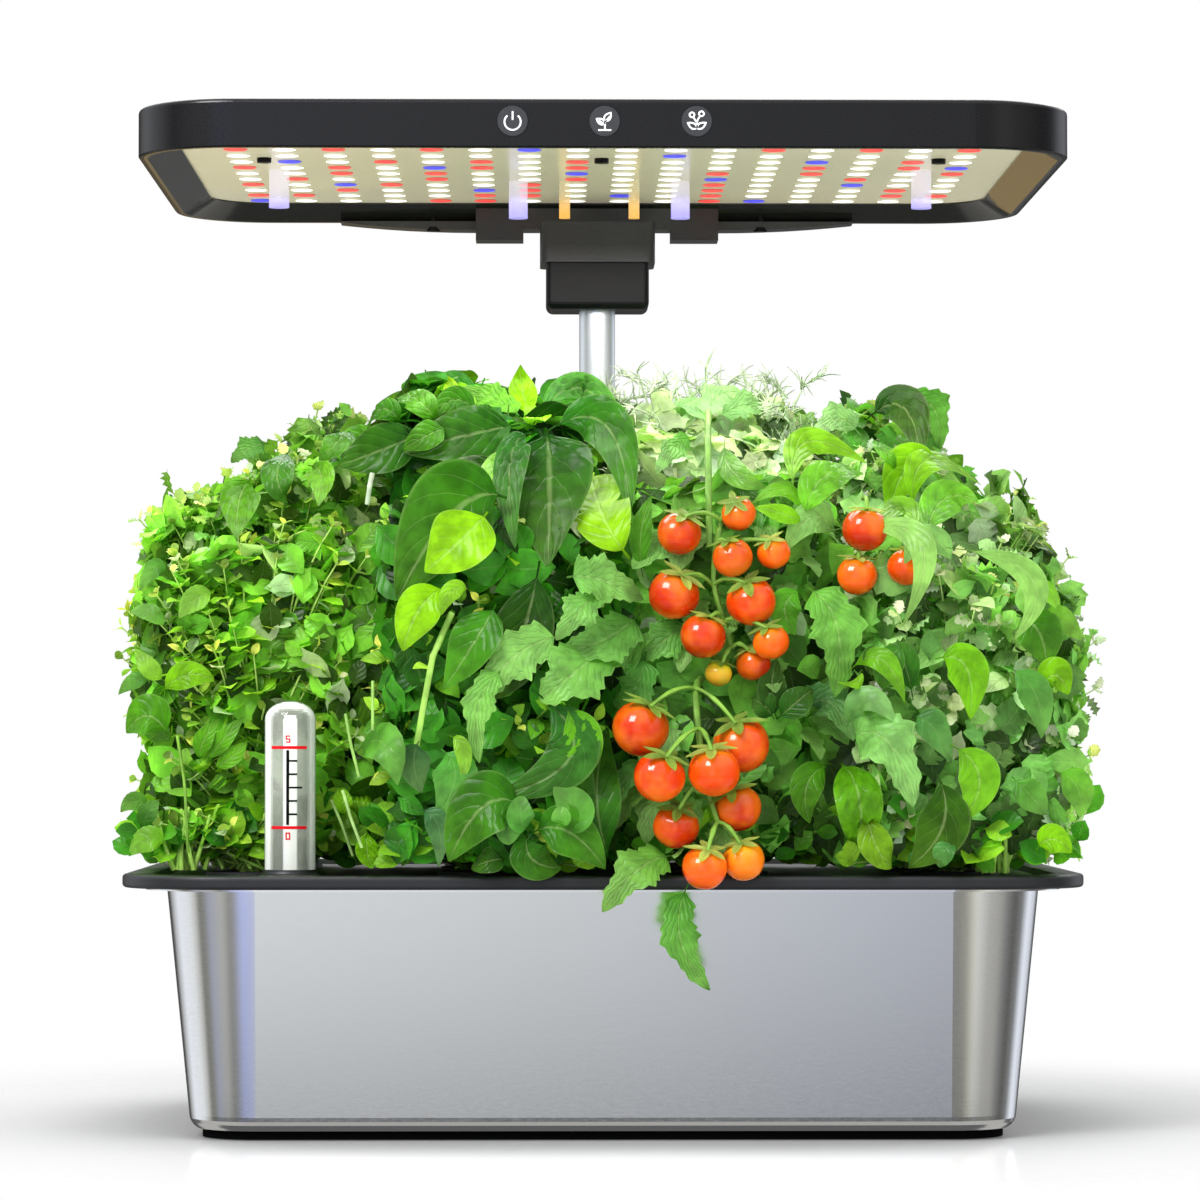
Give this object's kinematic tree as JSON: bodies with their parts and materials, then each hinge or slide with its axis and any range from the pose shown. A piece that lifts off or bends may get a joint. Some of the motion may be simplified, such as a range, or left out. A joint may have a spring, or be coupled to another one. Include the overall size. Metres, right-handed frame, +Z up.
{
  "type": "countertop hydroponic garden",
  "caption": "Countertop hydroponic garden: steel water tank, black deck of plant pods, level gauge, telescopic pole and a flat grow lamp over grown herbs and tomatoes.",
  "frame": {"origin": "centre of the rubber mat's underside, on the surface that the garden stands on", "axes": "+Z up, -Y towards the front with the gauge and the buttons, +X to the viewer's right"},
  "size_m": [0.364, 0.2865, 0.385],
  "materials": {
    "mat_rubber": "matt",
    "tank_steel": "satin brushed",
    "deck_black": "fine moulded grain",
    "basket_black": "moulded",
    "sponge": "open foam",
    "foliage": "leaf",
    "tomato": "glossy skin",
    "clear_plastic": "clear",
    "float_yellow": "moulded",
    "pole_chrome": "polished",
    "steel_black": "black oxide",
    "head_black": "fine moulded grain",
    "ring_white": "smooth",
    "lamp_black": "fine moulded grain",
    "bezel_gloss": "polished",
    "board_metal": "solder mask",
    "light_white": "clear lens",
    "light_red": "clear lens",
    "light_blue": "clear lens",
    "post_clear": "clear",
    "post_amber": "clear",
    "circuit_green": "solder mask",
    "button_grey": "moulded",
    "inlet_black": "moulded"
  },
  "bodies": {
    "tank": {"base_mat": "mat_rubber", "tank_shell": "tank_steel"},
    "deck": {"deck": "deck_black", "pole_socket": "deck_black", "socket_screws": "steel_black", "dc_inlet": "inlet_black", "outer_tube": "pole_chrome", "ferrule": "head_black", "sponges": "sponge", "upper_truss": "tomato", "lower_truss": "tomato", "pump_body": "deck_black", "pump_strainer": "deck_black", "pump_riser": "clear_plastic", "basket_1": "basket_black", "basket_2": "basket_black", "basket_3": "basket_black", "basket_4": "basket_black", "basket_5": "basket_black", "basket_6": "basket_black", "basket_7": "basket_black", "basket_8": "basket_black", "basket_9": "basket_black", "basket_10": "basket_black", "basket_11": "basket_black", "basket_12": "basket_black", "plant_1": "foliage", "plant_2": "foliage", "plant_3": "foliage", "plant_4": "foliage", "plant_5": "foliage", "plant_6": "foliage", "plant_7": "foliage", "plant_8": "foliage", "plant_9": "foliage", "plant_10": "foliage", "plant_11": "foliage", "plant_12": "foliage"},
    "impeller": {"impeller": "ring_white"},
    "gauge": {"gauge_tube": "clear_plastic", "gauge_collar": "deck_black"},
    "float": {"gauge_float": "float_yellow"},
    "pole": {"inner_pole": "pole_chrome", "guide_ring": "ring_white", "pole_head": "head_black"},
    "lamp": {"lamp_bracket": "head_black", "bracket_screws": "steel_black", "lamp_housing": "lamp_black", "lamp_bezel": "bezel_gloss", "light_board": "board_metal", "board_screws": "steel_black", "white_lights": "light_white", "red_lights": "light_red", "blue_lights": "light_blue", "clear_posts": "post_clear", "amber_posts": "post_amber", "button_board": "circuit_green"},
    "power_button": {"power_button": "button_grey"},
    "leaf_button": {"leaf_button": "button_grey"},
    "fruit_button": {"fruit_button": "button_grey"}
  },
  "joints": [
    {"name": "deck_lift", "type": "slide", "parent": "tank", "child": "deck", "axis": [0, 0, 1], "range_m": [0, 0.12]},
    {"name": "impeller_spin", "type": "hinge", "parent": "deck", "child": "impeller", "pos_m": [0.088, 0.04, 0.0215], "axis": [0, 0, 1], "continuous": true},
    {"name": "gauge_lift", "type": "slide", "parent": "deck", "child": "gauge", "axis": [0, 0, 1], "range_m": [0, 0.08]},
    {"name": "float_slide", "type": "slide", "parent": "gauge", "child": "float", "axis": [0, 0, 1], "range_m": [-0.0198, 0.0097]},
    {"name": "height_slide", "type": "slide", "parent": "deck", "child": "pole", "axis": [0, 0, 1], "range_m": [-0.045, 0.09]},
    {"name": "lamp_lift_off", "type": "slide", "parent": "pole", "child": "lamp", "axis": [0, 0, 1], "range_m": [0, 0.025]},
    {"name": "power_press", "type": "slide", "parent": "lamp", "child": "power_button", "axis": [0, 1, 0], "range_m": [0, 0.0006], "stiffness_N_per_m": 600},
    {"name": "leaf_press", "type": "slide", "parent": "lamp", "child": "leaf_button", "axis": [0, 1, 0], "range_m": [0, 0.0006], "stiffness_N_per_m": 600},
    {"name": "fruit_press", "type": "slide", "parent": "lamp", "child": "fruit_button", "axis": [0, 1, 0], "range_m": [0, 0.0006], "stiffness_N_per_m": 600}
  ]
}
